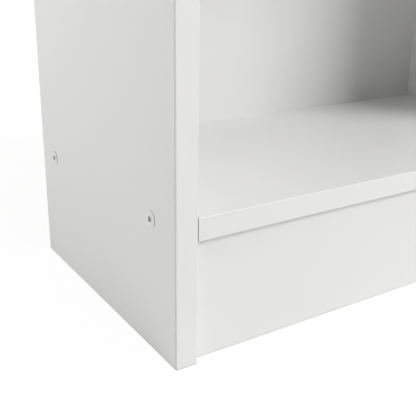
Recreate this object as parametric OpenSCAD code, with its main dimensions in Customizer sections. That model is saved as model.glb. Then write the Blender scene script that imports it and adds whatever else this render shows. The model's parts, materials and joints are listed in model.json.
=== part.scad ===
// Small flat-pack bookcase: two side boards, a top, a fixed bottom shelf over a
// set-back plinth, one loose shelf on pins and a nailed-on hardboard back.
// X is the width, -Y is the open front, +Z is up. The origin is on the floor,
// under the middle of the case.

/* [Case] */
// Overall width, over the outer faces of the side boards
case_w = 500; // [380:1:700]
// Overall height
case_h = 800; // [640:1:1000]
// Depth of the side boards from front edge to rear edge
side_d = 237; // [200:1:300]
// Thickness of every melamine-faced chipboard
board_t = 16; // [14:0.5:20]

/* [Edge bands] */
// Thickness of the plastic band glued on each visible board edge
band_t = 1; // [0.6:0.1:2]
// Rounding of the band's two outer corners
band_r = 0.5; // [0.2:0.1:0.6]
// Gap between a shelf's band and the side board at each end
band_end_gap = 0.5; // [0.2:0.1:1.5]

/* [Plinth] */
// Height of the plinth, up to the underside of the bottom shelf
plinth_h = 88; // [60:1:140]
// How far the plinth stands behind the front of the sides
plinth_setback = 6; // [2:0.5:20]
// Distance of the two upright dowels from the middle of the plinth
plinth_dowel_x = 120; // [60:1:120]

/* [Back panel] */
// Thickness of the hardboard back
back_t = 3; // [2:0.5:5]
// How far the back stays inside the outline of the case
back_inset = 1; // [0.5:0.5:4]

/* [Loose shelf] */
// Clearance between the loose shelf and a side board
shelf_end_gap = 1; // [0.5:0.1:3]
// How far the loose shelf stands behind the front of the sides
shelf_setback = 3; // [0:0.5:20]
// Clearance between the loose shelf and the back
shelf_back_gap = 2; // [1:0.5:10]
// Clearance that keeps the loose shelf a separate body above its pins
shelf_rest_gap = 0.3; // [0.2:0.1:0.5]

/* [Shelf pins and their holes] */
// Diameter of a pin's stem
pin_d = 5; // [4:0.5:6]
// Length of the stem in its hole
pin_stem = 9; // [6:0.5:11]
// Diameter of the collar that stops the pin
pin_collar_d = 8; // [7:0.5:11]
// Thickness of the collar
pin_collar_t = 1.2; // [0.8:0.1:2]
// Diameter of the arm that carries the shelf
pin_arm_d = 6; // [5:0.5:8]
// Length of that arm
pin_reach = 8; // [6:0.5:12]
// Height of the flat that carries the shelf above the pin's axis
pin_flat_h = 2; // [1:0.1:2.4]
// Clearance all round the stem
pin_clear = 0.1; // [0.05:0.05:0.2]
// Spacing of the holes in a row
hole_pitch = 32; // [25:1:40]
// Spare holes above and below each pin
spare_holes = 2; // [0:1:3]
// Distance of the hole rows from the front and rear edges of the sides
hole_row_inset = 37; // [30:1:50]

/* [Carcass screws] */
// Outer diameter of the thread
screw_d = 7; // [5:0.5:8]
// Core diameter of the thread
screw_core_d = 5; // [3:0.5:5]
// Length under the head's rim
screw_len = 50; // [40:1:60]
// Length of the plain neck, countersink included
screw_neck = 13; // [10:1:20]
// Pitch of the thread
screw_pitch = 3; // [2:0.5:4]
// Diameter of the head
head_d = 12; // [10:0.5:14]
// Diameter of the flat on top of the head
head_flat_d = 7; // [6:0.5:9.5]
// How far the head stands proud of the board
head_rise = 0.9; // [0.4:0.1:1.5]
// Height of the rim below the head's bevel
head_rim = 0.4; // [0.1:0.1:0.6]
// Width across flats of the hexagon socket
socket_af = 4; // [3:0.5:5]
// Depth of the hexagon socket
socket_depth = 3; // [2:0.5:3.5]
// Clearance round the screw in the boards
screw_clear = 0.15; // [0.1:0.05:0.3]
// Distance of the front screw from the front of the side
screw_front_inset = 33; // [25:1:60]
// Distance of the rear screw from the rear edge of the side
screw_rear_inset = 28; // [20:1:60]

/* [Dowels] */
// Diameter of the beech dowels
dowel_d = 8; // [6:0.5:9]
// Length of the beech dowels
dowel_len = 30; // [24:1:40]
// How much of a dowel sits in the face of the board it enters
dowel_in_face = 10; // [8:0.5:11]
// Clearance round a dowel and at its ends
dowel_clear = 0.1; // [0.05:0.05:0.3]

/* [Nails] */
// Diameter of a back panel nail
nail_d = 1.6; // [1.2:0.1:2.2]
// Length of a nail under its head
nail_len = 20; // [15:1:25]
// Diameter of a nail head
nail_head_d = 4; // [3:0.1:5]
// Thickness of a nail head
nail_head_t = 0.6; // [0.4:0.1:1]
// Clearance round a nail
nail_clear = 0.1; // [0.05:0.05:0.2]
// Largest spacing between nails
nail_pitch = 110; // [80:1:160]
// Distance of the first nail in each row from the corner of the back
nail_corner = 30; // [20:1:40]

/* [Wall bracket] */
// Length of each leg
bracket_leg = 22; // [20:1:30]
// Width of the bracket
bracket_w = 18; // [14:1:30]
// Thickness of its steel
bracket_t = 1.5; // [1:0.1:2]
// Inner radius of its bend
bracket_bend = 1.5; // [0.5:0.1:2.5]
// Hole for the screw that goes into the wall
wall_hole_d = 5.5; // [4:0.1:6]
// Distance of both holes from the bracket's corner
bracket_hole = 14; // [12:0.5:15]
// Diameter of the bracket's own screw
wood_screw_d = 3.5; // [3:0.1:4]
// Length of that screw under its head
wood_screw_len = 12; // [8:0.5:13]
// Diameter of its pan head
wood_head_d = 7; // [6:0.1:8]
// Height of its pan head
wood_head_h = 2.2; // [1.5:0.1:3]
// Clearance round that screw
wood_screw_clear = 0.15; // [0.1:0.05:0.3]

/* [Hidden] */
$fn = 64;
eps = 0.01;

inner_w = case_w - 2 * board_t;
depth = side_d + back_t + nail_head_t;
front_y = -depth / 2;
side_rear_y = front_y + side_d;
back_rear_y = side_rear_y + back_t;

shelf_top = plinth_h + board_t;
top_under = case_h - board_t;
bay_h = (top_under - shelf_top - board_t) / 2;
loose_z = shelf_top + bay_h;
bottom_mid_z = plinth_h + board_t / 2;
top_mid_z = top_under + board_t / 2;

screw_ys = [front_y + screw_front_inset, side_rear_y - screw_rear_inset];
centre_dowel_y = (screw_ys[0] + screw_ys[1]) / 2;
countersink_h = (head_d - screw_d) / 2;
screw_hole_len = screw_len + 1;

pin_z = loose_z - shelf_rest_gap - pin_flat_h;
pin_ys = [front_y + hole_row_inset, side_rear_y - hole_row_inset];
pin_hole_len = pin_stem + 1;

plinth_mid_y = front_y + plinth_setback + board_t / 2;
plinth_mid_z = plinth_h / 2;

back_z0 = plinth_h + back_inset;
back_h = case_h - back_inset - back_z0;
back_w = case_w - 2 * back_inset;
bracket_hole_y = side_rear_y - bracket_hole;
bracket_hole_z = top_under - bracket_hole;

// ---- shapes that repeat ----

// Turns a shape built along +Z so that +Z becomes the outward way of a side: -1 left, 1 right.
module on_side(side, y, z) {
    translate([side * case_w / 2, y, z]) rotate([0, side * 90, 0]) children();
}

// Like on_side, but starting at the inner face of that side and pointing into it.
module into_side(side, y, z) {
    translate([side * inner_w / 2, y, z]) rotate([0, side * 90, 0]) children();
}

// Cross section of an edge band: its rounded outer face lies on y = 0.
module band_profile(width) {
    translate([0, band_r]) square([width, band_t - band_r]);
    translate([band_r, 0]) square([width - 2 * band_r, band_t]);
    for (x = [band_r, width - band_r]) translate([x, band_r]) circle(r = band_r);
}

// Band along a horizontal front edge that spans w, centred on x = 0, with its underside at z.
module shelf_band(w, y, z) {
    translate([-w / 2, y, z + board_t]) rotate([0, 90, 0]) linear_extrude(w) band_profile(board_t);
}

// Half outline of a carcass screw, from its tip up to the flat on its head.
function thread_turns() = floor((screw_len - screw_neck - screw_d / 2) / screw_pitch);
function screw_outline() = concat(
    [[0, -screw_len], [screw_core_d / 4, -screw_len]],
    [for (i = [thread_turns() - 1 : -1 : 0], half = [1, 0])
        [half == 1 ? screw_core_d / 2 : screw_d / 2, -screw_neck - (i + half / 2 + 0.25) * screw_pitch]],
    [
        [screw_core_d / 2, -screw_neck],
        [screw_d / 2, -screw_neck + (screw_d - screw_core_d) / 2],
        [screw_d / 2, -countersink_h],
        [head_d / 2, 0],
        [head_d / 2, head_rim],
        [head_flat_d / 2, head_rise],
        [0, head_rise]
    ]
);

module carcass_screw() {
    difference() {
        rotate_extrude() polygon(screw_outline());
        translate([0, 0, head_rise - socket_depth])
            cylinder(h = socket_depth + eps, d = socket_af / cos(30), $fn = 6);
    }
}

// The countersunk hole that a carcass screw needs, as one cutter.
module carcass_screw_hole() {
    translate([0, 0, -screw_hole_len]) cylinder(h = screw_hole_len + eps, d = screw_d + 2 * screw_clear);
    translate([0, 0, -countersink_h])
        cylinder(h = countersink_h, d1 = screw_d + 2 * screw_clear, d2 = head_d + 2 * screw_clear);
    cylinder(h = eps, d = head_d + 2 * screw_clear);
}

module screw_pair(side, z) {
    for (y = screw_ys) on_side(side, y, z) carcass_screw();
}

module screw_pair_holes(side, z) {
    for (y = screw_ys) on_side(side, y, z) carcass_screw_hole();
}

// A dowel along Z: dowel_in_face of it above z = 0, the rest below, with chamfered ends.
module dowel() {
    rotate_extrude() polygon([
        [0, dowel_in_face - dowel_len],
        [dowel_d / 2 - 1, dowel_in_face - dowel_len],
        [dowel_d / 2, dowel_in_face - dowel_len + 1],
        [dowel_d / 2, dowel_in_face - 1],
        [dowel_d / 2 - 1, dowel_in_face],
        [0, dowel_in_face]
    ]);
}

module dowel_hole() {
    translate([0, 0, dowel_in_face - dowel_len - dowel_clear])
        cylinder(h = dowel_len + 2 * dowel_clear, d = dowel_d + 2 * dowel_clear);
}

// Places of a row of nails. An odd number of spaces leaves the middle free for the wall bracket.
function nail_spaces(length) = 2 * ceil((length - 2 * nail_corner) / nail_pitch / 2) + 1;
function nail_row(low, length) = [for (i = [0 : nail_spaces(length)])
    low + nail_corner + i * (length - 2 * nail_corner) / nail_spaces(length)];

// Middles of all the nails, as [x, z]: up both sides, then along the bottom and the top.
nail_points = concat(
    [for (z = nail_row(back_z0, back_h), side = [-1, 1]) [side * (case_w - board_t) / 2, z]],
    [for (x = nail_row(-inner_w / 2, inner_w), z = [bottom_mid_z, top_mid_z]) [x, z]]
);

module at_nails() {
    for (p = nail_points) translate([p[0], back_rear_y, p[1]]) rotate([-90, 0, 0]) children();
}

module nail() {
    rotate_extrude() polygon([
        [0, -nail_len],
        [nail_d / 2, nail_d - nail_len],
        [nail_d / 2, 0],
        [nail_head_d / 2, 0],
        [nail_head_d / 2, nail_head_t / 2],
        [nail_head_d / 2 - nail_head_t / 2, nail_head_t],
        [0, nail_head_t]
    ]);
}

module nail_holes() {
    at_nails() translate([0, 0, -nail_len - nail_clear])
        cylinder(h = nail_len + 2 * nail_clear, d = nail_d + 2 * nail_clear, $fn = 24);
}

// ---- boards ----

module side_board(side) {
    difference() {
        translate([side < 0 ? -case_w / 2 : inner_w / 2, front_y + band_t, 0])
            cube([board_t, side_d - band_t, case_h - band_t]);
        screw_pair_holes(side, bottom_mid_z);
        screw_pair_holes(side, top_mid_z);
        for (z = [bottom_mid_z, top_mid_z]) into_side(side, centre_dowel_y, z) dowel_hole();
        into_side(side, plinth_mid_y, plinth_mid_z) dowel_hole();
        for (y = pin_ys, i = [-spare_holes : spare_holes])
            into_side(side, y, pin_z + i * hole_pitch) translate([0, 0, -eps])
                cylinder(h = pin_hole_len + eps, d = pin_d + 2 * pin_clear);
        nail_holes();
    }
}

module side_front_band(side) {
    translate([side < 0 ? -case_w / 2 : inner_w / 2, front_y, 0])
        linear_extrude(case_h) band_profile(board_t);
}

// The top band's rounded outer face points up, behind the front band.
module side_top_band(side) {
    translate([side < 0 ? -case_w / 2 : inner_w / 2, front_y + band_t, case_h]) rotate([-90, 0, 0])
        linear_extrude(side_d - band_t) band_profile(board_t);
}

// A fixed board between the sides, with its underside at z.
module fixed_board(z) {
    difference() {
        translate([-inner_w / 2, front_y + band_t, z]) cube([inner_w, side_d - band_t, board_t]);
        for (side = [-1, 1]) {
            screw_pair_holes(side, z + board_t / 2);
            into_side(side, centre_dowel_y, z + board_t / 2) dowel_hole();
        }
        nail_holes();
        children();
    }
}

module left_side_board() { color("white") side_board(-1); }
module right_side_board() { color("white") side_board(1); }
module left_side_front_band() { color("whitesmoke") side_front_band(-1); }
module right_side_front_band() { color("whitesmoke") side_front_band(1); }
module left_side_top_band() { color("whitesmoke") side_top_band(-1); }
module right_side_top_band() { color("whitesmoke") side_top_band(1); }

module top_board() {
    color("white") fixed_board(top_under)
        translate([0, bracket_hole_y, top_under - eps])
            cylinder(h = wood_screw_len - bracket_t + 0.5, d = wood_screw_d + 2 * wood_screw_clear);
}

module top_board_front_band() {
    color("whitesmoke") shelf_band(inner_w - 2 * band_end_gap, front_y, top_under);
}

module bottom_shelf() {
    color("white") fixed_board(plinth_h) at_upright_dowels() dowel_hole();
}

module bottom_shelf_front_band() {
    color("whitesmoke") shelf_band(inner_w - 2 * band_end_gap, front_y, plinth_h);
}

module loose_shelf() {
    color("white") translate([-inner_w / 2 + shelf_end_gap, front_y + shelf_setback + band_t, loose_z])
        cube([
            inner_w - 2 * shelf_end_gap,
            side_d - shelf_setback - band_t - shelf_back_gap,
            board_t
        ]);
}

module loose_shelf_front_band() {
    color("whitesmoke") shelf_band(inner_w - 2 * shelf_end_gap, front_y + shelf_setback, loose_z);
}

module plinth_board() {
    color("white") difference() {
        translate([-inner_w / 2, front_y + plinth_setback, 0]) cube([inner_w, board_t, plinth_h]);
        for (side = [-1, 1]) into_side(side, plinth_mid_y, plinth_mid_z) dowel_hole();
        at_upright_dowels() dowel_hole();
    }
}

module back_panel() {
    color("gainsboro") difference() {
        translate([-back_w / 2, side_rear_y, back_z0]) cube([back_w, back_t, back_h]);
        nail_holes();
        translate([0, side_rear_y - eps, bracket_hole_z]) rotate([-90, 0, 0])
            cylinder(h = back_t + 2 * eps, d = wall_hole_d);
    }
}

// ---- fasteners ----

module at_upright_dowels() {
    for (x = [-plinth_dowel_x, plinth_dowel_x]) translate([x, plinth_mid_y, plinth_h]) children();
}

module left_bottom_screws() { color("gainsboro") screw_pair(-1, bottom_mid_z); }
module right_bottom_screws() { color("gainsboro") screw_pair(1, bottom_mid_z); }
module left_top_screws() { color("gainsboro") screw_pair(-1, top_mid_z); }
module right_top_screws() { color("gainsboro") screw_pair(1, top_mid_z); }

module bottom_shelf_dowels() {
    color("burlywood") for (side = [-1, 1]) into_side(side, centre_dowel_y, bottom_mid_z) dowel();
}

module top_board_dowels() {
    color("burlywood") for (side = [-1, 1]) into_side(side, centre_dowel_y, top_mid_z) dowel();
}

module plinth_end_dowels() {
    color("burlywood") for (side = [-1, 1]) into_side(side, plinth_mid_y, plinth_mid_z) dowel();
}

module plinth_upright_dowels() { color("burlywood") at_upright_dowels() dowel(); }

module back_panel_nails() { color("silver") at_nails() nail(); }

// A pin along +Z into its hole. Its flat is turned up when the pin lies in a side board.
module shelf_pin(side) {
    cylinder(h = pin_stem, d = pin_d);
    translate([0, 0, -pin_collar_t]) cylinder(h = pin_collar_t, d = pin_collar_d);
    difference() {
        translate([0, 0, -pin_collar_t - pin_reach]) cylinder(h = pin_reach, d = pin_arm_d);
        translate([-side * (pin_arm_d + pin_flat_h), 0, -pin_collar_t - pin_reach / 2])
            cube([2 * pin_arm_d, 2 * pin_arm_d, pin_reach + eps], center = true);
    }
}

// The collars are cut level with the flats, so that the loose shelf passes them.
module pin_pair(side) {
    difference() {
        for (y = pin_ys) into_side(side, y, pin_z) shelf_pin(side);
        translate([-inner_w / 2, front_y, loose_z - shelf_rest_gap]) cube([inner_w, side_d, board_t]);
    }
}

module left_shelf_pins() { color("silver") pin_pair(-1); }
module right_shelf_pins() { color("silver") pin_pair(1); }

// ---- wall bracket ----

// The bent strip seen along its width: corner at the origin, legs along -X and -Y.
module bracket_profile() {
    outer = bracket_bend + bracket_t;
    translate([-bracket_leg, -bracket_t]) square([bracket_leg - outer, bracket_t]);
    translate([-bracket_t, -bracket_leg]) square([bracket_t, bracket_leg - outer]);
    intersection() {
        translate([-outer, -outer]) difference() {
            circle(r = outer);
            circle(r = bracket_bend);
        }
        translate([-outer, -outer]) square(outer);
    }
}

module wall_bracket() {
    color("silver") difference() {
        translate([-bracket_w / 2, side_rear_y, top_under]) rotate([90, 0, 90])
            linear_extrude(bracket_w) bracket_profile();
        translate([0, side_rear_y - bracket_t - eps, bracket_hole_z]) rotate([-90, 0, 0])
            cylinder(h = bracket_t + 2 * eps, d = wall_hole_d);
        translate([0, bracket_hole_y, top_under - bracket_t - eps])
            cylinder(h = bracket_t + 2 * eps, d = wood_screw_d + 4 * wood_screw_clear);
    }
}

// A pan-head wood screw driven up through the bracket, with a cross recess.
module wall_bracket_screw() {
    recess_w = wood_screw_d / 4;
    color("silver") translate([0, bracket_hole_y, top_under - bracket_t]) difference() {
        rotate_extrude() polygon([
            [0, -wood_head_h],
            [wood_head_d / 2 - wood_head_h / 2, -wood_head_h],
            [wood_head_d / 2, -wood_head_h / 2],
            [wood_head_d / 2, 0],
            [wood_screw_d / 2, 0],
            [wood_screw_d / 2, wood_screw_len - wood_screw_d],
            [0, wood_screw_len]
        ]);
        for (turn = [0, 90]) rotate([0, 0, turn])
            translate([-wood_head_d / 4, -recess_w / 2, -wood_head_h - eps])
                cube([wood_head_d / 2, recess_w, wood_head_h / 2 + eps]);
    }
}

left_side_board();
left_side_front_band();
left_side_top_band();
right_side_board();
right_side_front_band();
right_side_top_band();
top_board();
top_board_front_band();
bottom_shelf();
bottom_shelf_front_band();
loose_shelf();
loose_shelf_front_band();
plinth_board();
back_panel();
back_panel_nails();
left_bottom_screws();
right_bottom_screws();
left_top_screws();
right_top_screws();
bottom_shelf_dowels();
top_board_dowels();
plinth_end_dowels();
plinth_upright_dowels();
left_shelf_pins();
right_shelf_pins();
wall_bracket();
wall_bracket_screw();
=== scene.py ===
# %% [markdown]
# # A low flat-pack bookcase in white melamine-faced chipboard
# The real thing is seven boards, some plastic edge bands, a sheet of hardboard and a bag of fittings.
# The boards and fittings come from the imported model, at their real size. What is left to Blender is
# how they look: the foil on the boards, the sawn chipboard where no band covers an edge, the glue line
# behind each band, the brown back, the screws and nails, which are made again here, and the pins, all
# with the rounded edges that catch the light.

# %% Load the imported model
import json
import math

import bmesh
import bpy
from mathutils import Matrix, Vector

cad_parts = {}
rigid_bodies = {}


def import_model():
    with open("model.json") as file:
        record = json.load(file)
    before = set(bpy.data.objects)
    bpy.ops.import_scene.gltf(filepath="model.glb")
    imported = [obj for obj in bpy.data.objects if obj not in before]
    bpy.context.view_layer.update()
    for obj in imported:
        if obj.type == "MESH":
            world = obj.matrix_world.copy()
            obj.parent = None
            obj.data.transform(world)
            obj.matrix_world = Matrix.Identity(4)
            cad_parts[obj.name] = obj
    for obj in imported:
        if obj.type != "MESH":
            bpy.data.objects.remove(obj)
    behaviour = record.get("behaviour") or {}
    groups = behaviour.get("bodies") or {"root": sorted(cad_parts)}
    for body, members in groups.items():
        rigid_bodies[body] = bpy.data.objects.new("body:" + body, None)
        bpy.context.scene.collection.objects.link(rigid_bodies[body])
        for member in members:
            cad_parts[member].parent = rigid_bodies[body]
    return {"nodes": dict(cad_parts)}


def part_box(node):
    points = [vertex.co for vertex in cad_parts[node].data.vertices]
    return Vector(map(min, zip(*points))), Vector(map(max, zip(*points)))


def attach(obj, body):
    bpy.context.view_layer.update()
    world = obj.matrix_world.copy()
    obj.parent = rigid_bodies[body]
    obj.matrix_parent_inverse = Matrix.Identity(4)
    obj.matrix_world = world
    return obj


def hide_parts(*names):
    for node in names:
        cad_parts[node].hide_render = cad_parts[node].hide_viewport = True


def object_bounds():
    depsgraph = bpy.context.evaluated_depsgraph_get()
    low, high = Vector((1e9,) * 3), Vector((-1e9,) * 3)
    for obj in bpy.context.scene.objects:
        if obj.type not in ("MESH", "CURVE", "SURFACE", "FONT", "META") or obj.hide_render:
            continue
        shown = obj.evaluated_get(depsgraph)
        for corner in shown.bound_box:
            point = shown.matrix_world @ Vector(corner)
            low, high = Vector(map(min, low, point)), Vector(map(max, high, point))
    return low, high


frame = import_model()
cad_low, cad_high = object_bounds()
scene = bpy.context.scene
print("case, in mm:", [round(1000 * side) for side in cad_high - cad_low])

# %% [markdown]
# ## Measures
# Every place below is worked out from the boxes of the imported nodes, so the looks follow the model when
# its sizes change. Blender works in metres, and a joiner thinks in millimetres, hence `mm`.

# %% Measures from the model
mm = 0.001
front, right = Vector((0, -1, 0)), Vector((1, 0, 0))


def place(node):
    """The lowest corner, highest corner and middle of a node."""
    low, high = (Vector(corner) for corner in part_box(node))
    return low, high, (low + high) / 2


side_low, side_high, _ = place("left_side_board")
front_foot, _, _ = place("left_side_front_band")
print("board thickness, in mm:", round((side_high.x - side_low.x) / mm, 2))

# %% [markdown]
# ## Camera
# The bookcase is seen from its lower left corner, close by and from above: the outer face of the left
# side, the bottom shelf, the plinth under it and a little of the back. A strongly shifted lens would keep
# all upright edges parallel. Here the shift is kept small, because every other view shares the lens and
# would lose half the bookcase, so the camera looks down instead.

# %% Camera
camera_data = bpy.data.cameras.new("camera")
camera = bpy.data.objects.new("camera", camera_data)
scene.collection.objects.link(camera)
scene.camera = camera
camera_heading = math.radians(31.2)
camera_dip = math.radians(17.67)
camera_from_foot = Vector((-184, -312, 245)) * mm
camera.location = front_foot + camera_from_foot
camera.rotation_euler = (math.pi / 2 - camera_dip, 0, -camera_heading)
camera_data.sensor_width = 36
camera_data.lens = 55.25
camera_data.shift_x = 0.06
camera_data.shift_y = -0.06
camera_data.clip_start = 0.02
print("camera at", [round(value, 3) for value in camera.location])

# %% [markdown]
# ## Building node trees
# The room, the floor and every material are built from many small nodes. A few helpers keep that
# readable: `add` makes a node, `feed` sets or links an input, `calc` is one step of arithmetic and
# `blend` mixes two colours or numbers.

# %% Node helpers
def add(tree, kind, **settings):
    """Makes a node and sets its properties."""
    node = tree.nodes.new(kind)
    for name, value in settings.items():
        setattr(node, name, value)
    return node


def feed(tree, socket, value):
    """Links the socket if the value is another node's output, and sets it otherwise."""
    if isinstance(value, bpy.types.NodeSocket):
        tree.links.new(value, socket)
    else:
        socket.default_value = value


def calc(tree, operation, *values, clamp=False):
    """One step of arithmetic on numbers."""
    node = add(tree, "ShaderNodeMath", operation=operation, use_clamp=clamp)
    for socket, value in zip(node.inputs, values):
        feed(tree, socket, value)
    return node.outputs[0]


def vector_calc(tree, operation, first, second):
    """One step of arithmetic on vectors."""
    node = add(tree, "ShaderNodeVectorMath", operation=operation)
    feed(tree, node.inputs[0], first)
    feed(tree, node.inputs[1], second)
    return node.outputs["Value" if operation == "DOT_PRODUCT" else "Vector"]


def blend(tree, share, first, second, kind="RGBA"):
    """The first value where share is 0, the second where it is 1."""
    node = add(tree, "ShaderNodeMix", data_type=kind)
    sockets = [s for s in node.inputs if s.enabled]
    feed(tree, sockets[0], share)
    feed(tree, sockets[1], first)
    feed(tree, sockets[2], second)
    return next(s for s in node.outputs if s.enabled)


print("node helpers ready")

# %% [markdown]
# ## Patterns and groups
# Two more helpers make and shape patterns: `noise` wavers smoothly from place to place, and `ramp` turns
# a measure into a mask with a soft edge. An effect that several materials share is a group, built once by
# `group` and placed by `use`, so that each material gives it its own values.

# %% Pattern and group helpers
def noise(tree, position, scale, detail=3.0, stretch=(1, 1, 1)):
    """Smooth noise from 0 to 1. Scale counts waves per metre; stretch squeezes them along an axis."""
    node = add(tree, "ShaderNodeTexNoise")
    feed(tree, node.inputs["Vector"], vector_calc(tree, "MULTIPLY", position, stretch))
    node.inputs["Scale"].default_value = scale
    node.inputs["Detail"].default_value = detail
    return node.outputs["Fac"]


def ramp(tree, value, low, high):
    """0 below low, 1 above high, smooth between."""
    node = add(tree, "ShaderNodeMapRange", interpolation_type="SMOOTHSTEP")
    feed(tree, node.inputs["Value"], value)
    feed(tree, node.inputs["From Min"], low)
    feed(tree, node.inputs["From Max"], high)
    return node.outputs["Result"]


def group(name, inputs, outputs):
    """A shader node group with its sockets: returns its tree, input node and output node."""
    tree = bpy.data.node_groups.new(name, "ShaderNodeTree")
    for label, kind, value in inputs:
        socket = tree.interface.new_socket(label, in_out="INPUT", socket_type="NodeSocket" + kind)
        if value is not None:
            socket.default_value = value
    for label, kind in outputs:
        tree.interface.new_socket(label, in_out="OUTPUT", socket_type="NodeSocket" + kind)
    return tree, add(tree, "NodeGroupInput"), add(tree, "NodeGroupOutput")


def use(tree, group_tree, **values):
    """Places a group and feeds its inputs; an underscore in a name stands for a space."""
    node = add(tree, "ShaderNodeGroup", node_tree=group_tree)
    for name, value in values.items():
        feed(tree, node.inputs[name.replace("_", " ")], value)
    return node


print("pattern and group helpers ready")

# %% [markdown]
# ## Studio
# White furniture on white needs soft light with a direction, or its faces run together. A large soft box
# to the right of the open front gives most of it, so the right side board throws a wide soft shadow on
# the back. A weaker one high above the front fills the shade on the shelves and reaches the top face. A
# small flat box close to the left side and a little behind it lifts the outer face, more at the top than
# at the foot, and draws a thin shadow in front of each screw head. It hangs below the top face, which it
# would bleach. One low behind shows the brown back. The lamps themselves are hidden from the camera.

# %% Lamps
def soft_box(name, azimuth, elevation, distance, size, power, target, tall=1.0):
    """A lamp that is tall times as high as it is wide. Azimuth 0 is in front, 90 at the right."""
    data = bpy.data.lights.new(name, "AREA")
    data.shape = "RECTANGLE"
    data.size = size
    data.size_y = size * tall
    data.energy = power
    data.color = (1, 0.997, 0.98)
    lamp = bpy.data.objects.new(name, data)
    lamp.visible_camera = False
    scene.collection.objects.link(lamp)
    turn, rise = math.radians(azimuth), math.radians(elevation)
    away = Vector((math.sin(turn) * math.cos(rise), -math.cos(turn) * math.cos(rise), math.sin(rise)))
    lamp.location = target + away * distance
    lamp.rotation_euler = (-away).to_track_quat("-Z", "Y").to_euler()


case_middle = Vector((0, 0, cad_high.z / 2))
case_upper_part = Vector((0, 0, 0.875 * cad_high.z))
soft_box("key_box", azimuth=36, elevation=28, distance=4.0, size=1.6, power=122.5, target=case_middle)
soft_box("high_box", azimuth=0, elevation=75, distance=4.0, size=2.2, power=54, target=case_middle)
soft_box("left_box", azimuth=-110, elevation=-2, distance=1.28, size=0.5, power=7.0, target=case_upper_part,
         tall=0.5)
soft_box("back_box", azimuth=150, elevation=12, distance=3.0, size=1.6, power=30, target=case_middle)

# %% [markdown]
# ## Room
# The room is one even colour all round. Light Path tells the rays apart: those that light the bookcase
# get the weak level of a real room, and those that the camera sees, straight or in a reflection, get
# plain white.

# %% Room
room_level = 0.142
world = bpy.data.worlds.new("pale_room")
scene.world = world
world.use_nodes = True
world_tree = world.node_tree
background = world_tree.nodes["Background"]
background.inputs["Color"].default_value = (1, 1, 1, 1)


def seen_directly(tree):
    """1 for camera, mirror and glass rays, 0 for light that falls on things."""
    path = add(tree, "ShaderNodeLightPath")
    reflected = calc(tree, "MAXIMUM", path.outputs["Is Glossy Ray"], path.outputs["Is Transmission Ray"])
    return calc(tree, "MAXIMUM", path.outputs["Is Camera Ray"], reflected)


room_mix = add(world_tree, "ShaderNodeMapRange")
feed(world_tree, room_mix.inputs["Value"], seen_directly(world_tree))
room_mix.inputs["To Min"].default_value = room_level
room_mix.inputs["To Max"].default_value = 1.0
feed(world_tree, background.inputs["Strength"], room_mix.outputs["Result"])

view = scene.view_settings
view.view_transform = "Standard"
print("room level:", room_level)

# %% [markdown]
# ## Floor
# A sheet of white paper. For the camera it is mostly an even white, with part of it left to the lamps,
# so that the shadow round the bookcase still shows faintly. That part fades out with distance, where the
# lamps no longer reach, so the paper runs into the white behind it without a horizon.

# %% Floor sheet
floor_side = 40.0
floor_mesh = bpy.data.meshes.new("floor")
half = floor_side / 2
floor_corners = [(-half, -half, 0), (half, -half, 0), (half, half, 0), (-half, half, 0)]
floor_mesh.from_pydata(floor_corners, [], [(0, 1, 2, 3)])
floor = bpy.data.objects.new("floor", floor_mesh)
scene.collection.objects.link(floor)
print("floor:", floor_side, "m square")

# %% [markdown]
# ## Paper
# Two shaders are mixed: one that the lamps light and one that is simply white. The white one is only for
# the camera, so it throws no light on the bookcase. Near the bookcase a small part is left to the lamps,
# and that part is what shows the shadow.

# %% Floor paper
white_share_near, fade_start, fade_end = 0.86, 0.5, 2.5
floor_paper = bpy.data.materials.new("floor_paper")
floor_paper.use_nodes = True
tree = floor_paper.node_tree
tree.nodes.clear()
lit_paper = add(tree, "ShaderNodeBsdfDiffuse")
lit_paper.inputs["Color"].default_value = (0.8, 0.8, 0.8, 1)
white_paper = add(tree, "ShaderNodeEmission")
white_paper.inputs["Strength"].default_value = 1.06
from_case = add(tree, "ShaderNodeVectorMath", operation="LENGTH")
feed(tree, from_case.inputs[0], add(tree, "ShaderNodeTexCoord").outputs["Object"])
far = ramp(tree, from_case.outputs["Value"], fade_start, fade_end)
white_share = calc(tree, "MULTIPLY_ADD", far, 1 - white_share_near, white_share_near)
paper_mix = add(tree, "ShaderNodeMixShader")
feed(tree, paper_mix.inputs["Fac"], calc(tree, "MULTIPLY", seen_directly(tree), white_share))
feed(tree, paper_mix.inputs[1], lit_paper.outputs[0])
feed(tree, paper_mix.inputs[2], white_paper.outputs[0])
feed(tree, add(tree, "ShaderNodeOutputMaterial").inputs["Surface"], paper_mix.outputs[0])
floor_mesh.materials.append(floor_paper)
print("paper:", floor_paper.name)

# %% [markdown]
# ## White foil
# The boards are faced with paper soaked in melamine resin, pressed hard between steel plates. It is an
# even white with a fine pearl: shallow dimples well under a millimetre wide, which blur reflections
# more than they shade. A slow drift in tone and gloss, from pressing and handling, keeps large faces
# from looking computed. Noise in object coordinates gives all three at their real size.

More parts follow.
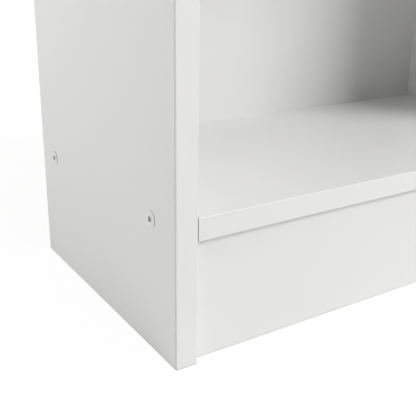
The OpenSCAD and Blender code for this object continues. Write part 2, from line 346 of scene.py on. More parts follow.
# %% Group: white foil
foil_group, foil_in, foil_out = group(
    "white_foil",
    [("Position", "Vector", None), ("Tone", "Color", (0.8, 0.8, 0.8, 1)), ("Gloss", "Float", 0.4),
     ("Pearl", "Float", 1.0)],
    [("Color", "Color"), ("Roughness", "Float"), ("Height", "Float")],
)
where = foil_in.outputs["Position"]
drift = noise(foil_group, where, 9, detail=2)
cloud = calc(foil_group, "SUBTRACT", noise(foil_group, where, 70, detail=4), 0.5)
speck = calc(foil_group, "SUBTRACT", noise(foil_group, where, 2600, detail=1), 0.5)
tone_shift = calc(foil_group, "MULTIPLY_ADD", drift, 0.02, 0.99)
tone_shift = calc(foil_group, "MULTIPLY_ADD", cloud, 0.008, tone_shift)
tone_shift = calc(foil_group, "MULTIPLY_ADD", speck, 0.012, tone_shift)
shifted = add(foil_group, "ShaderNodeVectorMath", operation="SCALE")
feed(foil_group, shifted.inputs[0], foil_in.outputs["Tone"])
feed(foil_group, shifted.inputs["Scale"], tone_shift)
feed(foil_group, foil_out.inputs["Color"], shifted.outputs[0])
gloss = calc(foil_group, "MULTIPLY_ADD", cloud, 0.16, foil_in.outputs["Gloss"])
feed(foil_group, foil_out.inputs["Roughness"], calc(foil_group, "MULTIPLY_ADD", drift, 0.06, gloss))
dimples = noise(foil_group, where, 1500, detail=2)
relief = calc(foil_group, "MULTIPLY", dimples, foil_in.outputs["Pearl"])
feed(foil_group, foil_out.inputs["Height"], relief)
print("group:", foil_group.name)

# %% [markdown]
# ## Depth in a board
# A board is a sandwich, so what shows at a point depends on how deep the point lies under the two
# faces: foil outside, chips inside. Painting edges by hand would miss the drilled holes. Measuring the
# depth turns the wall of every hole brown by the same rule as the sawn edges.

# %% Group: depth under the faces of a board
depth_group, depth_in, depth_out = group(
    "depth_in_board",
    [("Position", "Vector", None), ("Across", "Vector", (1, 0, 0)), ("Middle", "Float", 0.0),
     ("Half thickness", "Float", 8 * mm)],
    [("Depth", "Float")],
)
across = vector_calc(depth_group, "DOT_PRODUCT", depth_in.outputs["Position"], depth_in.outputs["Across"])
from_middle = calc(depth_group, "SUBTRACT", across, depth_in.outputs["Middle"])
from_middle = calc(depth_group, "ABSOLUTE", from_middle)
feed(depth_group, depth_out.inputs["Depth"],
     calc(depth_group, "SUBTRACT", depth_in.outputs["Half thickness"], from_middle))
print("group:", depth_group.name)

# %% [markdown]
# ## Sawn chipboard
# Where no band is glued on, the edge shows coarse flat chips in the middle and fine, dust-like chips
# near both faces. A ready-made texture would repeat and smear; a cell pattern squeezed across the
# thickness gives flat chips at any place, each with its own brown, and dark pits where the saw tore some.

# %% Group: sawn chipboard, its chips and browns
chip_group, chip_in, chip_out = group(
    "sawn_chipboard",
    [("Position", "Vector", None), ("Depth", "Float", 4 * mm), ("Squeeze", "Vector", (1, 1, 1))],
    [("Color", "Color"), ("Roughness", "Float"), ("Height", "Float")],
)


def chips(position, squeeze, scale):
    """Cells of flat chips: returns a random colour for each chip and the distance from its middle."""
    cells = add(chip_group, "ShaderNodeTexVoronoi")
    feed(chip_group, cells.inputs["Vector"], vector_calc(chip_group, "MULTIPLY", position, squeeze))
    cells.inputs["Scale"].default_value = scale
    return cells.outputs["Color"], cells.outputs["Distance"]


def chip_browns(color):
    """A chip's brown from its random colour: mostly pale spruce, some bark and darker grain."""
    pick = add(chip_group, "ShaderNodeSeparateColor")
    feed(chip_group, pick.inputs[0], color)
    shades = add(chip_group, "ShaderNodeValToRGB")
    feed(chip_group, shades.inputs[0], pick.outputs[0])
    scale = shades.color_ramp
    scale.elements[0].position, scale.elements[0].color = 0.0, (0.20, 0.105, 0.045, 1)
    scale.elements[1].position, scale.elements[1].color = 1.0, (0.60, 0.44, 0.26, 1)
    for position, brown in ((0.12, (0.34, 0.20, 0.10, 1)), (0.4, (0.47, 0.32, 0.17, 1)),
                            (0.75, (0.53, 0.38, 0.21, 1))):
        scale.elements.new(position).color = brown
    return shades.outputs[0]


print("group:", chip_group.name)

# %% [markdown]
# ## Layers and pits
# Fine chips lie near the faces and coarse ones in the core, so depth decides which of two patterns shows.
# A little noise bends their outlines. The rim of a chip, where noise allows it, is torn out as a pit.

# %% Group: sawn chipboard, its layers and pits
chip_place = chip_in.outputs["Position"]
wobble = noise(chip_group, chip_place, 300, detail=2)
wobble = vector_calc(chip_group, "MULTIPLY", wobble, (1 * mm,) * 3)
wobbled = vector_calc(chip_group, "ADD", chip_place, wobble)
coarse_color, coarse_edge = chips(wobbled, chip_in.outputs["Squeeze"], 330)
fine_color, fine_edge = chips(wobbled, chip_in.outputs["Squeeze"], 1500)
core_share = ramp(chip_group, chip_in.outputs["Depth"], 1.6 * mm, 3.4 * mm)
browns = blend(chip_group, core_share, chip_browns(fine_color), chip_browns(coarse_color))
pits = ramp(chip_group, blend(chip_group, core_share, fine_edge, coarse_edge, kind="FLOAT"), 0.45, 0.85)
torn = ramp(chip_group, noise(chip_group, chip_place, 700), 0.45, 0.65)
pits = calc(chip_group, "MULTIPLY", pits, torn)
darker = blend(chip_group, calc(chip_group, "MULTIPLY", pits, 0.75), browns, (0.10, 0.06, 0.03, 1))
feed(chip_group, chip_out.inputs["Color"], darker)
chip_out.inputs["Roughness"].default_value = 0.85
fuzz = noise(chip_group, chip_place, 1800)
feed(chip_group, chip_out.inputs["Height"],
     calc(chip_group, "SUBTRACT", fuzz, calc(chip_group, "MULTIPLY", pits, 1.5)))
print("nodes in", chip_group.name + ":", len(chip_group.nodes))

# %% [markdown]
# ## Glue line
# An edge band is stuck on with hot glue and scraped flush. What stays is a hairline between band and
# board, a little greyer than both. It is drawn by distance from the joint, on the board and on the band.

# %% Group: glue line
glue_group, glue_in, glue_out = group(
    "glue_line",
    [("Position", "Vector", None), ("Out", "Vector", (0, -1, 0)), ("Joint", "Float", 0.0),
     ("Width", "Float", 0.35 * mm)],
    [("Mask", "Float")],
)
along_out = vector_calc(glue_group, "DOT_PRODUCT", glue_in.outputs["Position"], glue_in.outputs["Out"])
beyond = calc(glue_group, "SUBTRACT", along_out, glue_in.outputs["Joint"])
uneven = calc(glue_group, "MULTIPLY_ADD", noise(glue_group, glue_in.outputs["Position"], 160), 0.8, 0.6)
line_width = calc(glue_group, "MULTIPLY", glue_in.outputs["Width"], uneven)
closeness = calc(glue_group, "DIVIDE", calc(glue_group, "ABSOLUTE", beyond), line_width)
feed(glue_group, glue_out.inputs["Mask"], calc(glue_group, "SUBTRACT", 1.0, closeness, clamp=True))
print("group:", glue_group.name)

# %% [markdown]
# ## Painted foot shade
# A thin, uneven grey line is painted along the lowest millimetre of the boards and bands. It stands in
# for the contact shade where they meet the floor. It is weak, but without it a white foot melts into a
# white floor.

# %% Group: painted foot shade
foot_shade_group, foot_shade_in, foot_shade_out = group(
    "painted_foot_shade", [("Position", "Vector", None), ("Height", "Float", 1.6 * mm)], [("Mask", "Float")])
# Painted contact shade: a mask that is strongest at the floor and fades out unevenly over a millimetre or
# two.
foot_level = vector_calc(foot_shade_group, "DOT_PRODUCT", foot_shade_in.outputs["Position"], (0, 0, 1))
foot_waves = noise(foot_shade_group, foot_shade_in.outputs["Position"], 90)
foot_edge = calc(foot_shade_group, "MULTIPLY", foot_shade_in.outputs["Height"],
                 calc(foot_shade_group, "MULTIPLY_ADD", foot_waves, 1.2, 0.4))
foot_fade = calc(foot_shade_group, "SUBTRACT", 1.0, ramp(foot_shade_group, foot_level, 0.0, foot_edge))
feed(foot_shade_group, foot_shade_out.inputs["Mask"], calc(foot_shade_group, "MULTIPLY", foot_fade, 0.35))
print("group:", foot_shade_group.name)

# %% [markdown]
# ## Colours and surfaces
# The white is a little warm and well below pure white, or it would have no shading left in bright light.
# Every material starts and ends in the same way: it reads the place of a point on the piece, and it hands
# a colour, a roughness and a bump to one Principled shader.

# %% Colours, and how a material starts and ends
white = (0.80, 0.799, 0.795, 1)
back_white = (0.755, 0.754, 0.750, 1)
glue_grey = (0.30, 0.29, 0.275, 1)
# Grey of the painted contact shade along the foot of the boards and bands.
foot_shade_grey = (0.36, 0.35, 0.33, 1)
foil_thickness = 0.15 * mm


def start_material(name):
    """An empty material: returns it, its tree, its Principled shader and the object coordinates."""
    material = bpy.data.materials.new(name)
    material.use_nodes = True
    tree = material.node_tree
    shader = tree.nodes["Principled BSDF"]
    return material, tree, shader, add(tree, "ShaderNodeTexCoord").outputs["Object"]


def finish_surface(tree, shader, color, roughness, height, relief):
    """Feeds colour, roughness and a bump whose full height is relief metres."""
    bump = add(tree, "ShaderNodeBump")
    bump.inputs["Distance"].default_value = relief
    feed(tree, bump.inputs["Height"], height)
    feed(tree, shader.inputs["Base Color"], color)
    feed(tree, shader.inputs["Roughness"], roughness)
    feed(tree, shader.inputs["Normal"], bump.outputs[0])


print("white:", white[:3])

# %% [markdown]
# ## Materials of the boards
# One function builds the finish of any board. It needs to know which way the board is thin, so that
# foil and chipboard come out on the right faces, and where its bands are, for the glue lines.

# %% Board material
chip_flatness, chip_relief = 3.2, 12.0


def board_material(node, across, banded, glue_width):
    """Foil on the two faces, chipboard on the edges; banded lists the ways its banded edges face."""
    low, high, middle = place(node)
    material, tree, shader, position = start_material(node)
    thin = Vector(across)
    depth = use(tree, depth_group, Position=position, Across=across, Middle=middle.dot(thin),
                Half_thickness=(high - low).dot(thin) / 2).outputs["Depth"]
    sawn = ramp(tree, depth, 0.6 * foil_thickness, foil_thickness)
    foil = use(tree, foil_group, Position=position, Tone=white, Gloss=0.38)
    squeeze = tuple(chip_flatness if part else 1.0 for part in across)
    core = use(tree, chip_group, Position=position, Depth=depth, Squeeze=squeeze)
    color = blend(tree, sawn, foil.outputs["Color"], core.outputs["Color"])
    for out in banded:
        joint = (high if max(out) > 0 else low).dot(Vector(out))
        line = use(tree, glue_group, Position=position, Out=out, Joint=joint, Width=glue_width)
        color = blend(tree, line.outputs["Mask"], color, glue_grey)
    # Painted contact shade: a grey line along the lowest millimetre, where the board meets the floor.
    foot = use(tree, foot_shade_group, Position=position)
    color = blend(tree, foot.outputs["Mask"], color, foot_shade_grey)
    roughness = blend(tree, sawn, foil.outputs["Roughness"], core.outputs["Roughness"], kind="FLOAT")
    height = blend(tree, sawn, foil.outputs["Height"],
                   calc(tree, "MULTIPLY", core.outputs["Height"], chip_relief), kind="FLOAT")
    finish_surface(tree, shader, color, roughness, height, 0.012 * mm)
    return material


def dress(node, material):
    """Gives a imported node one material."""
    mesh = frame["nodes"][node].data
    mesh.materials.clear()
    mesh.materials.append(material)


facing_front, facing_up = (0, -1, 0), (0, 0, 1)
side_glue, shelf_glue = 0.55 * mm, 0.12 * mm
for board, thin_way, banded_edges, glue_width in (
    ("left_side_board", (1, 0, 0), (facing_front, facing_up), side_glue),
    ("right_side_board", (1, 0, 0), (facing_front, facing_up), side_glue),
    ("top_board", (0, 0, 1), (facing_front,), shelf_glue),
    ("bottom_shelf", (0, 0, 1), (facing_front,), shelf_glue),
    ("loose_shelf", (0, 0, 1), (facing_front,), shelf_glue),
    ("plinth_board", (0, 1, 0), (), shelf_glue),
):
    dress(board, board_material(board, thin_way, banded_edges, glue_width))
print("boards dressed")

# %% [markdown]
# ## Edge bands
# The bands are extruded plastic, coloured right through and a touch glossier than the foil. The scraper
# that trims them leaves very fine lines along their length, so their noise is stretched that way.

# %% Band material
def band_material(node, along, out):
    """White plastic, scraped along one way, with half of the glue line at its joint with the board."""
    low, high, _ = place(node)
    material, tree, shader, position = start_material(node)
    foil = use(tree, foil_group, Position=position, Tone=white, Gloss=0.22, Pearl=0.5)
    stretch = tuple(0.02 if part else 1.0 for part in along)
    scraped = noise(tree, position, 2400, detail=2, stretch=stretch)
    joint = (low if max(out) > 0 else high).dot(Vector(out))
    line = use(tree, glue_group, Position=position, Out=out, Joint=joint, Width=0.18 * mm)
    color = blend(tree, line.outputs["Mask"], foil.outputs["Color"], glue_grey)
    # Painted contact shade: a grey line along the lowest millimetre, where the band meets the floor.
    foot = use(tree, foot_shade_group, Position=position)
    color = blend(tree, foot.outputs["Mask"], color, foot_shade_grey)
    roughness = calc(tree, "MULTIPLY_ADD", scraped, 0.14, foil.outputs["Roughness"])
    height = calc(tree, "ADD", foil.outputs["Height"], scraped)
    finish_surface(tree, shader, color, roughness, height, 0.008 * mm)
    return material


for node in frame["nodes"]:
    if node.endswith("_band"):
        if node.endswith("top_band"):
            dress(node, band_material(node, (0, 1, 0), facing_up))
        elif "side" in node:
            dress(node, band_material(node, (0, 0, 1), facing_front))
        else:
            dress(node, band_material(node, (1, 0, 0), facing_front))
print("bands dressed:", sum(node.endswith("_band") for node in frame["nodes"]))

# %% [markdown]
# ## Hardboard back
# A thin sheet of pressed wood fibre: lacquered on the side that faces the room, in a white a shade
# duller than the boards, and bare and brown behind. The bare side has short fibres lying every way and a
# slow, cloudy change of brown. Noise drawn out along one line gives fibres that lie one way, so it is laid
# over itself at several turns.

# %% Group: pressed fibre
fibre_group, fibre_in, fibre_out = group(
    "pressed_fibre", [("Position", "Vector", None)], [("Fibre", "Float")])
bend = noise(fibre_group, fibre_in.outputs["Position"], 130, detail=1)
bend = vector_calc(fibre_group, "MULTIPLY", bend, (4 * mm,) * 3)
bent = vector_calc(fibre_group, "ADD", fibre_in.outputs["Position"], bend)
strongest = None
for turn in range(5):
    turned = add(fibre_group, "ShaderNodeVectorRotate", rotation_type="Y_AXIS")
    feed(fibre_group, turned.inputs["Vector"], bent)
    turned.inputs["Angle"].default_value = math.radians(11 + 36 * turn)
    one_way = noise(fibre_group, turned.outputs[0], 1000 + 70 * turn, detail=3, stretch=(1, 1, 0.16))
    strongest = one_way if strongest is None else calc(fibre_group, "MAXIMUM", strongest, one_way)
feed(fibre_group, fibre_out.inputs["Fibre"], strongest)
print("group:", fibre_group.name)

# %% [markdown]
# ## The back's two sides
# One material carries both sides of the sheet: a point's distance from the front face decides whether it
# is lacquer or bare fibre, so the cut edges and the nail holes come out brown as well.

# %% Back panel material
back_low, back_high, _ = place("back_panel")
back_material, tree, shader, position = start_material("back_panel")
foil = use(tree, foil_group, Position=position, Tone=back_white, Gloss=0.5, Pearl=1.6)
toward_back = calc(tree, "SUBTRACT", vector_calc(tree, "DOT_PRODUCT", position, (0, 1, 0)), back_low.y)
bare = ramp(tree, toward_back, 0.1 * mm, 0.2 * mm)
fibres = use(tree, fibre_group, Position=position).outputs["Fibre"]
clouds = calc(tree, "MULTIPLY", ramp(tree, noise(tree, position, 22, detail=4), 0.35, 0.7), 0.5)
brown = blend(tree, ramp(tree, fibres, 0.54, 0.8), (0.16, 0.085, 0.04, 1), (0.34, 0.20, 0.105, 1))
brown = blend(tree, clouds, brown, (0.24, 0.13, 0.065, 1))
color = blend(tree, bare, foil.outputs["Color"], brown)
roughness = blend(tree, bare, foil.outputs["Roughness"], 0.72, kind="FLOAT")
height = blend(tree, bare, foil.outputs["Height"], calc(tree, "MULTIPLY", fibres, 5.0), kind="FLOAT")
finish_surface(tree, shader, color, roughness, height, 0.012 * mm)
dress("back_panel", back_material)
print("back panel dressed")

# %% [markdown]
# ## Metals, lacquer and beech
# The fittings are small, and each has one plain finish: white lacquer on the carcass screws, with bare
# steel where the key has rubbed the socket, bright drawn steel nails, nickel on pins and bracket.

# %% Group: rubbed metal
rubbed_group, rubbed_in, rubbed_out = group(
    "rubbed_metal",
    [("Position", "Vector", None), ("Tone", "Color", (0.6, 0.6, 0.6, 1)), ("Gloss", "Float", 0.3)],
    [("Color", "Color"), ("Roughness", "Float"), ("Height", "Float")],
)
metal_place = rubbed_in.outputs["Position"]
streaks = noise(rubbed_group, metal_place, 3000, detail=3)
stains = noise(rubbed_group, metal_place, 240, detail=3)
toned = add(rubbed_group, "ShaderNodeVectorMath", operation="SCALE")
feed(rubbed_group, toned.inputs[0], rubbed_in.outputs["Tone"])
feed(rubbed_group, toned.inputs["Scale"], calc(rubbed_group, "MULTIPLY_ADD", stains, 0.2, 0.9))
feed(rubbed_group, rubbed_out.inputs["Color"], toned.outputs[0])
base_gloss = calc(rubbed_group, "SUBTRACT", rubbed_in.outputs["Gloss"], 0.08)
feed(rubbed_group, rubbed_out.inputs["Roughness"],
     calc(rubbed_group, "MULTIPLY_ADD", streaks, 0.22, base_gloss))
feed(rubbed_group, rubbed_out.inputs["Height"], streaks)
print("group:", rubbed_group.name)


def metal_material(name, tone, gloss):
    """Plain metal with fine streaks and faint stains."""
    material, tree, shader, position = start_material(name)
    shader.inputs["Metallic"].default_value = 1.0
    rubbed = use(tree, rubbed_group, Position=position, Tone=tone, Gloss=gloss)
    finish_surface(tree, shader, rubbed.outputs["Color"], rubbed.outputs["Roughness"],
                   rubbed.outputs["Height"], 0.004 * mm)
    return material


nickel = metal_material("nickel_plate", (0.62, 0.61, 0.58, 1), 0.26)
nail_steel = metal_material("nail_steel", (0.55, 0.55, 0.55, 1), 0.34)
print("materials:", nickel.name, nail_steel.name)

# %% [markdown]
# ## Beech
# The dowels are turned from beech: pale, with the short dark flecks that give the wood away. They sit
# inside the boards, so this only shows when the case is taken apart.

# %% Beech dowels
beech, tree, shader, position = start_material("beech")
rings = noise(tree, position, 500, detail=3, stretch=(0.1, 1, 1))
flecks = ramp(tree, noise(tree, position, 2200, detail=2, stretch=(0.25, 1, 1)), 0.58, 0.7)
beech_color = blend(tree, rings, (0.52, 0.34, 0.19, 1), (0.66, 0.47, 0.29, 1))
beech_color = blend(tree, calc(tree, "MULTIPLY", flecks, 0.4), beech_color, (0.34, 0.20, 0.10, 1))
beech_roughness = calc(tree, "MULTIPLY_ADD", rings, 0.15, 0.55)
finish_surface(tree, shader, beech_color, beech_roughness, rings, 0.02 * mm)
for node in frame["nodes"]:
    if node.endswith("_dowels"):
        dress(node, beech)
print("dowels dressed")

# %% [markdown]
# ## Pins and bracket
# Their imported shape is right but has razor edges. The mesh comes as loose triangles, so a Weld joins it
# before a Bevel rounds the edges, by a few tenths of a millimetre as tumbling and plating leave them.

# %% Soften the small steel parts
same_point = 0.002 * mm


def soften(node, radius):
    """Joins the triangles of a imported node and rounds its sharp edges."""
    piece = frame["nodes"][node]
    weld = piece.modifiers.new("weld", "WELD")
    weld.merge_threshold = same_point
    bevel = piece.modifiers.new("bevel", "BEVEL")
    bevel.width = radius
    bevel.segments = 2
    bevel.limit_method = "ANGLE"
    bevel.angle_limit = math.radians(40)


for node in ("left_shelf_pins", "right_shelf_pins", "wall_bracket", "wall_bracket_screw"):
    dress(node, nickel)
    soften(node, 0.15 * mm)
print("pins and bracket softened")

# %% [markdown]
# ## Carcass screws
# Each screw is turned and forged: a shallow bevelled head with a hexagon socket, a countersunk neck and
# a coarse thread. Its outline is turned round the axis here as rings of 48 points. The rings inside the
# socket are pushed out to a hexagon instead of a circle, which makes the socket without cutting.

# %% Meshes from rings
ring_points = 48


def hexagon_radius(angle, across_flats):
    """Distance from the middle of a hexagon to its edge in one direction."""
    sector = (angle + math.pi / 6) % (math.pi / 3) - math.pi / 6
    return across_flats / 2 / math.cos(sector)


def ring_mesh(name, rings):
    """Skin over rings from one closed end to the other. A ring is (height, radius as a function)."""
    points, faces = [], []
    for height, radius in rings:
        for step in range(ring_points):
            angle = 2 * math.pi * step / ring_points
            points.append((radius(angle) * math.cos(angle), radius(angle) * math.sin(angle), height))
    for ring in range(len(rings) - 1):
        for step in range(ring_points):
            a = ring * ring_points + step
            b = ring * ring_points + (step + 1) % ring_points
            faces.append((a, b, b + ring_points, a + ring_points))
    for ring, way in ((0, -1), (len(rings) - 1, 1)):
        points.append((0, 0, rings[ring][0]))
        for step in range(ring_points):
            a = ring * ring_points + step
            b = ring * ring_points + (step + 1) % ring_points
            faces.append((a, b, len(points) - 1)[::way])
    mesh = bpy.data.meshes.new(name)
    mesh.from_pydata(points, [], faces)
    return mesh


def circle(radius):
    """The same radius all round."""
    return lambda angle: radius


def hexagon(across_flats):
    """A hexagon, by its distance across the flats."""
    return lambda angle: hexagon_radius(angle, across_flats)


def arc_rings(radius, height, corner, start, end, steps=4):
    """Rings along a rounded corner, from angle start to end in degrees; 0 points out, 90 up."""
    for step in range(steps + 1):
        turn = math.radians(start + (end - start) * step / steps)
        yield height + corner * math.sin(turn), circle(radius + corner * math.cos(turn))


print("points in a ring:", ring_points)

# %% [markdown]
# ## Outline of a carcass screw
# The thread is a stack of rings, wide and narrow in turn, because it is never seen. The head's rim stands
# a hair off the board and overhangs its countersink, which gives the thin dark line round it, and its
# edges are rounded: the rim by a small radius, the flat top by a large one.

# %% Carcass screw
def carcass_screw_rings(head, over, flat, rise, rim, socket, socket_depth, shank, core, length, pitch):
    """From the tip, up the thread and over the head, then down into the socket."""
    neck = (head - shank) / 2
    plain = neck + 10 * mm
    tuck, gap, rim_corner, flat_corner = 0.35 * mm, 0.15 * mm, 0.13 * mm, 1.6 * mm
    yield -length, circle(core / 4)
    turns = int((length - plain - shank / 2) / pitch)
    for turn in range(turns, 0, -1):
        yield -plain - turn * pitch, circle(core / 2)
        yield -plain - (turn - 0.5) * pitch, circle(shank / 2)
    yield -plain, circle(core / 2)
    yield -plain + (shank - core) / 2, circle(shank / 2)
    yield -neck, circle(shank / 2)
    yield -tuck, circle(head / 2 - tuck)
    yield gap, circle(head / 2 - tuck)
    yield gap, circle(head / 2 + over - 0.08 * mm)
    yield from arc_rings(head / 2 + over - rim_corner, rim - rim_corner, rim_corner, -30, 60)
    yield from arc_rings(flat / 2 - flat_corner / 2, rise - flat_corner, flat_corner, 60, 90)
    yield rise, hexagon(socket + 0.5 * mm)
    yield rise - 0.12 * mm, hexagon(socket + 0.15 * mm)
    yield rise - 0.35 * mm, hexagon(socket)
    yield rise - socket_depth, hexagon(socket)
    yield rise - socket_depth, circle(socket / 2 * 0.9)


screws_low, screws_high, _ = place("left_bottom_screws")
head_diameter = screws_high.z - screws_low.z
head_rise = side_low.x - screws_low.x
screw_mesh = ring_mesh("carcass_screw", list(carcass_screw_rings(
    head=head_diameter, over=0.15 * mm, flat=6.8 * mm, rise=head_rise, rim=0.4 * mm,
    socket=4 * mm, socket_depth=3 * mm, shank=7 * mm, core=5 * mm,
    length=screws_high.x - side_low.x, pitch=3 * mm)))
print("screw head, in mm:", round(head_diameter / mm, 2), "standing proud by", round(head_rise / mm, 2))

# %% [markdown]
# ## Lacquer on the screws
# The screws are lacquered white to match the boards. The key has rubbed the lacquer off in patches on
# the walls of the socket, and the bare steel there is what makes the socket look dark from outside.

# %% Screw material
screw_lacquer, tree, shader, position = start_material("screw_lacquer")
lacquer = use(tree, foil_group, Position=position, Tone=white, Gloss=0.3, Pearl=0.6)
socket_lip = 0.45 * mm
from_case_middle = calc(tree, "ABSOLUTE", vector_calc(tree, "DOT_PRODUCT", position, (1, 0, 0)))
socket_wall = calc(tree, "SUBTRACT", abs(screws_low.x) - socket_lip, from_case_middle)
worn = calc(tree, "MULTIPLY", ramp(tree, noise(tree, position, 1100, detail=2), 0.4, 0.62), 0.6)
rubbed_off = calc(tree, "MULTIPLY", ramp(tree, socket_wall, 0.0, 0.3 * mm), worn)
bare_steel = use(tree, rubbed_group, Position=position, Tone=(0.42, 0.41, 0.40, 1), Gloss=0.4)
color = blend(tree, rubbed_off, lacquer.outputs["Color"], bare_steel.outputs["Color"])
roughness = blend(tree, rubbed_off, lacquer.outputs["Roughness"], bare_steel.outputs["Roughness"],
                  kind="FLOAT")
feed(tree, shader.inputs["Metallic"], calc(tree, "MULTIPLY", rubbed_off, 0.9))
finish_surface(tree, shader, color, roughness, lacquer.outputs["Height"], 0.012 * mm)
print("screw lacquer ready")

# %% [markdown]
# ## Finding what repeats
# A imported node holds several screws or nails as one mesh. Walking along connected edges from any corner
# reaches exactly one solid, so the walk gives the box of each, and its place needs no list of numbers.

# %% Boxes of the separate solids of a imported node
def solid_boxes(node):
    """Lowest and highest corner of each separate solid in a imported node."""
    joined = bmesh.new()
    joined.from_mesh(frame["nodes"][node].data)
    bmesh.ops.remove_doubles(joined, verts=joined.verts, dist=same_point)
    joined.verts.ensure_lookup_table()
    boxes, waiting = [], set(joined.verts)
    while waiting:
        stack = [waiting.pop()]
        low = stack[0].co.copy()
        high = low.copy()
        while stack:
            vertex = stack.pop()
            low = Vector(map(min, low, vertex.co))
            high = Vector(map(max, high, vertex.co))
            for edge in vertex.link_edges:
                other = edge.other_vert(vertex)
                if other in waiting:
                    waiting.remove(other)
                    stack.append(other)
        boxes.append((low, high))
    joined.free()
    return sorted(boxes, key=lambda box: tuple(round(value, 4) for value in box[0]))


print("nails found:", len(solid_boxes("back_panel_nails")))

# %% [markdown]
# ## Placing what repeats
# Screws and nails are placed by Geometry Nodes: a cloud of points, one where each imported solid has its
# middle, and on each point the same mesh, turned to face out of its board. The tree ends by making the
# copies real and giving them their material, and the result is kept as a plain mesh.

# %% Geometry Nodes: one mesh on every point
def placing_tree():
    """Inputs: the points, the mesh to place, how it is turned, how far copies twist, the material."""
    tree = bpy.data.node_groups.new("place_on_points", "GeometryNodeTree")
    for label, kind in (("Points", "Geometry"), ("Fitting", "Object"), ("Turn", "Rotation"),
                        ("Twist spread", "Float"), ("Material", "Material")):
        tree.interface.new_socket(label, in_out="INPUT", socket_type="NodeSocket" + kind)
    tree.interface.new_socket("Geometry", in_out="OUTPUT", socket_type="NodeSocketGeometry")
    inputs = add(tree, "NodeGroupInput")
    outputs = add(tree, "NodeGroupOutput")
    fitting = add(tree, "GeometryNodeObjectInfo")
    feed(tree, fitting.inputs["Object"], inputs.outputs["Fitting"])
    chance = add(tree, "FunctionNodeRandomValue", data_type="FLOAT")
    next(s for s in chance.inputs if s.name == "Seed" and s.enabled).default_value = 7
    twist = add(tree, "ShaderNodeMath", operation="MULTIPLY")
    feed(tree, twist.inputs[0], next(s for s in chance.outputs if s.enabled))
    feed(tree, twist.inputs[1], inputs.outputs["Twist spread"])
    spin = add(tree, "FunctionNodeAxisAngleToRotation")
    spin.inputs["Axis"].default_value = (0, 0, 1)
    feed(tree, spin.inputs["Angle"], twist.outputs[0])
    turned = add(tree, "FunctionNodeRotateRotation", rotation_space="LOCAL")
    feed(tree, turned.inputs["Rotation"], inputs.outputs["Turn"])
    feed(tree, turned.inputs["Rotate By"], spin.outputs[0])
    place_all = add(tree, "GeometryNodeInstanceOnPoints")
    feed(tree, place_all.inputs["Points"], inputs.outputs["Points"])
    feed(tree, place_all.inputs["Instance"], fitting.outputs["Geometry"])
    feed(tree, place_all.inputs["Rotation"], turned.outputs[0])
    real = add(tree, "GeometryNodeRealizeInstances")
    feed(tree, real.inputs[0], place_all.outputs[0])
    painted = add(tree, "GeometryNodeSetMaterial")
    feed(tree, painted.inputs["Geometry"], real.outputs[0])
    feed(tree, painted.inputs["Material"], inputs.outputs["Material"])
    feed(tree, outputs.inputs[0], painted.outputs[0])
    return tree


place_tree = placing_tree()
print("placing tree nodes:", len(place_tree.nodes))

# %% [markdown]
# ## Using the placing tree
# A modifier runs the tree on a cloud of points. Its inputs are set before it is first evaluated. The
# evaluated result is then copied to a plain mesh and the modifier goes, so nothing is left to compute.

# %% Place copies of a mesh
def set_input(modifier, label, value):
    """A modifier's input is set by its socket's identifier."""
    sockets = modifier.node_group.interface.items_tree
    identifier = next(s.identifier for s in sockets if s.name == label and s.in_out == "INPUT")
    modifier[identifier] = value


def placed(name, points, fitting_mesh, outward, twist_spread, material):
    """Copies of a mesh, whose +Z is turned outward, on a list of points, as one plain mesh object."""
    cloud = bpy.data.objects.new(name, bpy.data.meshes.new(name))
    cloud.data.from_pydata([tuple(point) for point in points], [], [])
    scene.collection.objects.link(cloud)
    fitting = bpy.data.objects.new(name + "_fitting", fitting_mesh)
    scene.collection.objects.link(fitting)
    modifier = cloud.modifiers.new("place", "NODES")
    modifier.node_group = place_tree
    set_input(modifier, "Fitting", fitting)
    set_input(modifier, "Turn", outward.to_track_quat("Z", "Y").to_euler())
    set_input(modifier, "Twist spread", twist_spread)
    set_input(modifier, "Material", material)
    ready = cloud.evaluated_get(bpy.context.evaluated_depsgraph_get())
    result = bpy.data.meshes.new_from_object(ready)
    cloud.modifiers.clear()
    cloud.data = result
    cloud.data.name = name
    bpy.data.objects.remove(fitting)
    return cloud


print("ready to place screws and nails")

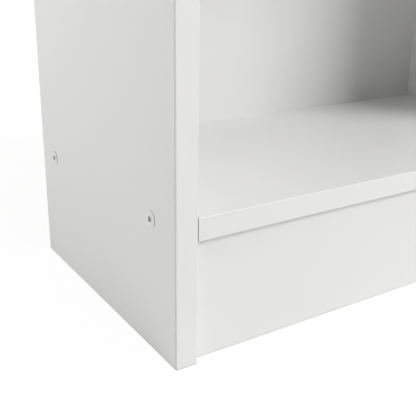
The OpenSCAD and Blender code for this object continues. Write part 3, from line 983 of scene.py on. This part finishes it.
# %% [markdown]
# ## Screws in their places
# A screw's packed box runs from its tip to the top of its head, so its axis is at the middle of that
# box and the board's outer face is `head_rise` below the top. Keys stop anywhere, so each is twisted a
# little differently.

# %% Place the carcass screws
for side, outward in (("left", -right), ("right", right)):
    for height in ("bottom", "top"):
        node = f"{side}_{height}_screws"
        seats = []
        for low, high in solid_boxes(node):
            seat = (low + high) / 2
            seat.x = math.copysign(abs(side_low.x), outward.x)
            seats.append(seat)
        screws = placed(node + "_turned", seats, screw_mesh, outward, math.radians(50), screw_lacquer)
        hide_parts(node)
        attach(screws, "carcass")
        print(node, "at", [(round(s.y, 3), round(s.z, 3)) for s in seats])

# %% [markdown]
# ## Nails in the back
# Thin panel pins with a small domed head, driven till the head just bites the hardboard.

# %% Place the nails
nails_low, nails_high, _ = place("back_panel_nails")
nail_boxes = solid_boxes("back_panel_nails")
nail_head = nail_boxes[0][1].x - nail_boxes[0][0].x
nail_length = back_high.y - nails_low.y
nail_dome = nails_high.y - back_high.y
nail_wire, nail_point, nail_tip = 0.8 * mm, 1.6 * mm, 0.1 * mm
nail_rings = [
    (-nail_length, circle(nail_tip)),
    (-nail_length + nail_point, circle(nail_wire)),
    (0.0, circle(nail_wire)),
    (0.0, circle(nail_head / 2)),
    (0.4 * nail_dome, circle(nail_head / 2)),
    (0.8 * nail_dome, circle(0.8 * nail_head / 2)),
    (nail_dome, circle(0.4 * nail_head / 2)),
]
nail_mesh = ring_mesh("panel_nail", nail_rings)
nail_seats = []
for low, high in nail_boxes:
    seat = (low + high) / 2
    seat.y = back_high.y
    nail_seats.append(seat)
nails = placed("panel_nails", nail_seats, nail_mesh, -front, math.radians(300), nail_steel)
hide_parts("back_panel_nails")
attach(nails, "carcass")
print("nails:", len(nail_seats))

# %% [markdown]
# ## Shading of round parts
# Turned parts should look round and their edges crisp, so faces that meet at a shallow angle are shaded
# smooth and the rest stay sharp.

# %% Smooth the turned parts
for piece in list(scene.objects):
    if piece.name.endswith("_turned") or piece.name == "panel_nails":
        piece.data.shade_smooth()
        piece.data.set_sharp_from_angle(angle=math.radians(28))
        print(piece.name, "faces:", len(piece.data.polygons))
